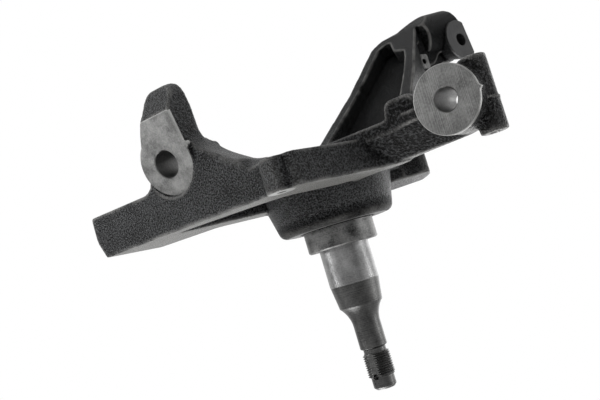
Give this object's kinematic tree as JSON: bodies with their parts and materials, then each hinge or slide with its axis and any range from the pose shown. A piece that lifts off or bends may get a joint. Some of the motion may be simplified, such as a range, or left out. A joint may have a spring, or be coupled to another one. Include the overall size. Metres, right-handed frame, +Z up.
{
  "type": "steering knuckle",
  "caption": "Cast steering knuckle with a turned bearing spindle, lower ball-joint ear, steering arm, caliper ears and an upper arm that ends in a pinch clamp.",
  "frame": {"origin": "on the spindle axis, in the shoulder that the inner wheel bearing seats on", "axes": "+Y outboard along the spindle, +Z up, +X toward the steering arm"},
  "size_m": [0.2742, 0.2922, 0.3793],
  "materials": {
    "iron": "satin"
  },
  "bodies": {
    "root": {"steering_knuckle": "iron"}
  },
  "joints": []
}
